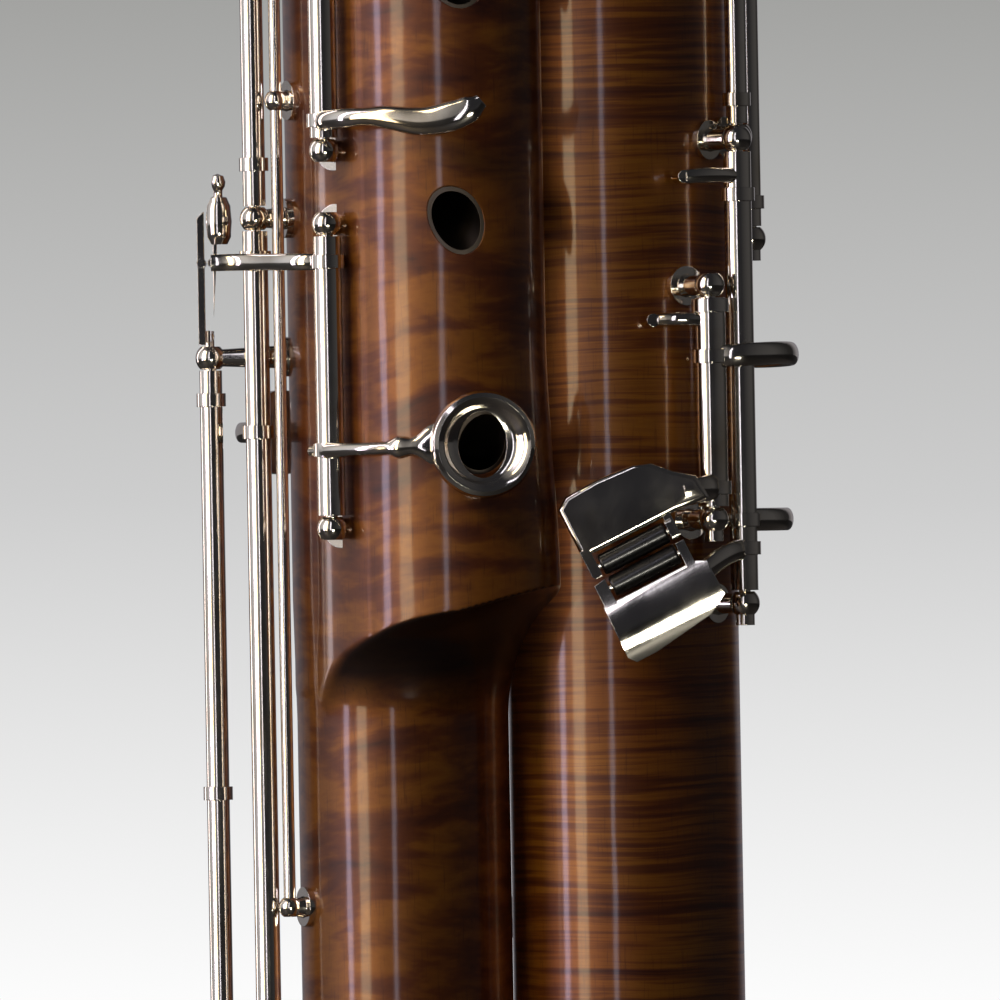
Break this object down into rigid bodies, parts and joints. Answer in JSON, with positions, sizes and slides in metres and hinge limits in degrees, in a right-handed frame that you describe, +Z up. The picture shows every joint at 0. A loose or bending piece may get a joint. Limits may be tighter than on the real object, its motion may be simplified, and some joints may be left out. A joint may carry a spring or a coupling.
{
  "type": "bassoon",
  "caption": "German-system bassoon: folded wooden conical-bore body of boot, wing, long joint and bell, with crook, reed and turning key work on posts.",
  "frame": {"origin": "centre between the two bore axes on the flat underside of the boot cap", "axes": "+Z up along the bores, +X from the wing joint's bore to the long joint's bore, -Y toward the player's finger-hole side"},
  "size_m": [0.2838, 0.1002, 1.345],
  "materials": {
    "maple": "flamed maple, dark red-brown stain under gloss varnish",
    "silver_plate": "polished silver plate",
    "pad_leather": "tan pad skin over felt",
    "ebonite": "polished black ebonite",
    "ivory_resin": "polished off-white resin",
    "tenon_thread": "waxed thread wound close",
    "cork": "sanded cork",
    "cane": "scraped cane",
    "reed_thread": "lacquered thread with brass wires",
    "blued_steel": "drawn steel",
    "brass": "drawn brass tube"
  },
  "bodies": {
    "instrument": {"bell": "maple", "bell_ferrule": "silver_plate", "bell_ring": "ivory_resin", "body_lock": "silver_plate", "boot": "maple", "boot_cap": "silver_plate", "boot_posts": "silver_plate", "boot_top_band": "silver_plate", "hole_liners": "silver_plate", "long_joint": "maple", "long_posts": "silver_plate", "needle_springs": "blued_steel", "pivot_steels": "blued_steel", "tenon_wraps": "tenon_thread", "u_tube": "brass", "u_tube_gasket": "cork", "wing_joint": "maple", "wing_posts": "silver_plate", "wing_top_ferrule": "silver_plate"},
    "trill_key": {"trill_key": "silver_plate", "trill_pad": "pad_leather"},
    "ring_key": {"ring_key": "silver_plate"},
    "bridge_lever": {"bridge_lever": "silver_plate"},
    "whisper_key": {"whisper_key": "silver_plate", "whisper_pad": "pad_leather"},
    "c_sharp_key": {"c_sharp_key": "silver_plate", "c_sharp_pad": "pad_leather"},
    "high_a_key": {"high_a_key": "silver_plate", "high_a_pad": "pad_leather"},
    "low_e_flat_key": {"low_e_flat_key": "silver_plate", "low_e_flat_pad": "pad_leather"},
    "low_c_sharp_key": {"low_c_sharp_key": "silver_plate", "low_c_sharp_pad": "pad_leather"},
    "low_b_key": {"low_b_key": "silver_plate", "low_b_pad": "pad_leather"},
    "low_c_key": {"low_c_key": "silver_plate", "low_c_pad": "pad_leather"},
    "low_d_key": {"low_d_key": "silver_plate", "low_d_pad": "pad_leather"},
    "low_b_flat_lever": {"low_b_flat_lever": "silver_plate"},
    "bell_key": {"bell_key": "silver_plate", "bell_pad": "pad_leather"},
    "g_key": {"g_key": "silver_plate", "g_pad": "pad_leather"},
    "a_flat_key": {"a_flat_key": "silver_plate", "a_flat_pad": "pad_leather"},
    "f_key": {"f_key": "silver_plate", "f_pad": "pad_leather"},
    "e_key": {"e_key": "silver_plate", "e_pad": "pad_leather"},
    "b_flat_key": {"b_flat_key": "silver_plate", "b_flat_pad": "pad_leather"},
    "low_e_flat_roller": {"low_e_flat_roller": "ebonite"},
    "low_c_sharp_roller": {"low_c_sharp_roller": "ebonite"},
    "bocal": {"bocal_tube": "silver_plate", "bocal_cork": "cork", "reed_cane": "cane", "reed_binding": "reed_thread"},
    "hand_rest": {"hand_rest": "ebonite"},
    "hand_rest_screw": {"hand_rest_screw": "silver_plate"}
  },
  "joints": [
    {"name": "trill_key_turn", "type": "hinge", "parent": "instrument", "child": "trill_key", "pos_m": [-0.03276, -0.01942, 0.724], "axis": [0, 0, 1], "range_deg": [-7, 0]},
    {"name": "ring_key_turn", "type": "hinge", "parent": "instrument", "child": "ring_key", "pos_m": [-0.03253, -0.01946, 0.599], "axis": [0, 0, 1], "range_deg": [0, 4]},
    {"name": "bridge_lever_turn", "type": "hinge", "parent": "instrument", "child": "bridge_lever", "pos_m": [-0.04935, 0.00431, 0.544], "axis": [0, 0, 1], "range_deg": [-6.4, 0]},
    {"name": "whisper_key_turn", "type": "hinge", "parent": "instrument", "child": "whisper_key", "pos_m": [-0.04234, -0.00228, 0.779], "axis": [0, 0, 1], "range_deg": [0, 7]},
    {"name": "c_sharp_key_turn", "type": "hinge", "parent": "instrument", "child": "c_sharp_key", "pos_m": [-0.04234, -0.00228, 0.546], "axis": [0, 0, 1], "range_deg": [0, 8]},
    {"name": "high_a_key_turn", "type": "hinge", "parent": "instrument", "child": "high_a_key", "pos_m": [-0.00685, 0.02044, 0.735], "axis": [0, 0, 1], "range_deg": [-8, 0]},
    {"name": "low_e_flat_key_turn", "type": "hinge", "parent": "instrument", "child": "low_e_flat_key", "pos_m": [0.03064, -0.02374, 0.588], "axis": [0, 0, 1], "range_deg": [-7, 0]},
    {"name": "low_c_sharp_key_turn", "type": "hinge", "parent": "instrument", "child": "low_c_sharp_key", "pos_m": [0.03641, -0.01871, 0.593], "axis": [0, 0, 1], "range_deg": [-7, 0]},
    {"name": "low_b_key_turn", "type": "hinge", "parent": "instrument", "child": "low_b_key", "pos_m": [0.03747, -0.01251, 0.771], "axis": [0, 0, 1], "range_deg": [0, 9]},
    {"name": "low_c_key_turn", "type": "hinge", "parent": "instrument", "child": "low_c_key", "pos_m": [0.04256, 0.00731, 0.69], "axis": [0, 0, 1], "range_deg": [0, 9]},
    {"name": "low_d_key_turn", "type": "hinge", "parent": "instrument", "child": "low_d_key", "pos_m": [0.03115, 0.02165, 0.546], "axis": [0, 0, 1], "range_deg": [0, 9]},
    {"name": "low_b_flat_lever_turn", "type": "hinge", "parent": "instrument", "child": "low_b_flat_lever", "pos_m": [0.00749, 0.02393, 0.838], "axis": [0, 0, 1], "range_deg": [-8, 0]},
    {"name": "bell_key_turn", "type": "hinge", "parent": "instrument", "child": "bell_key", "pos_m": [0.00749, 0.02393, 1.109], "axis": [0, 0, 1], "range_deg": [-8, 0]},
    {"name": "g_key_turn", "type": "hinge", "parent": "instrument", "child": "g_key", "pos_m": [-0.03993, -0.01662, 0.25], "axis": [0, 0, 1], "range_deg": [0, 8]},
    {"name": "a_flat_key_turn", "type": "hinge", "parent": "instrument", "child": "a_flat_key", "pos_m": [-0.04332, -0.01098, 0.158], "axis": [0, 0, 1], "range_deg": [0, 9]},
    {"name": "f_key_turn", "type": "hinge", "parent": "instrument", "child": "f_key", "pos_m": [0.04087, -0.01864, 0.161], "axis": [0, 0, 1], "range_deg": [0, 9]},
    {"name": "e_key_turn", "type": "hinge", "parent": "instrument", "child": "e_key", "pos_m": [-0.03481, 0.02225, 0.318], "axis": [0, 0, 1], "range_deg": [-8, 0]},
    {"name": "b_flat_key_turn", "type": "hinge", "parent": "instrument", "child": "b_flat_key", "pos_m": [0.0365, 0.02285, 0.354], "axis": [0, 0, 1], "range_deg": [-9, 0]},
    {"name": "low_e_flat_roller_spin", "type": "hinge", "parent": "low_e_flat_key", "child": "low_e_flat_roller", "pos_m": [0.01679, -0.0266, 0.56956], "axis": [0.8893, -0.125, 0.4399], "continuous": true},
    {"name": "low_c_sharp_roller_spin", "type": "hinge", "parent": "low_c_sharp_key", "child": "low_c_sharp_roller", "pos_m": [0.01853, -0.02684, 0.56597], "axis": [0.8893, -0.125, 0.4399], "continuous": true},
    {"name": "bocal_swivel", "type": "hinge", "parent": "instrument", "child": "bocal", "pos_m": [-0.01865, 0, 0.9], "axis": [0, 0, 1], "range_deg": [-15, 15]},
    {"name": "hand_rest_swivel", "type": "hinge", "parent": "instrument", "child": "hand_rest", "pos_m": [-0.04428, -0.00545, 0.384], "axis": [0, 0, 1], "range_deg": [-15, 15]},
    {"name": "hand_rest_screw_turn", "type": "hinge", "parent": "instrument", "child": "hand_rest_screw", "pos_m": [-0.04552, 0.00042, 0.384], "axis": [-0.2079, 0.9781, 0], "continuous": true}
  ],
  "couplings": [
    {"joint": "bridge_lever_turn", "follows": "ring_key_turn", "ratio": -1.6},
    {"joint": "bell_key_turn", "follows": "low_b_flat_lever_turn", "ratio": 1}
  ]
}
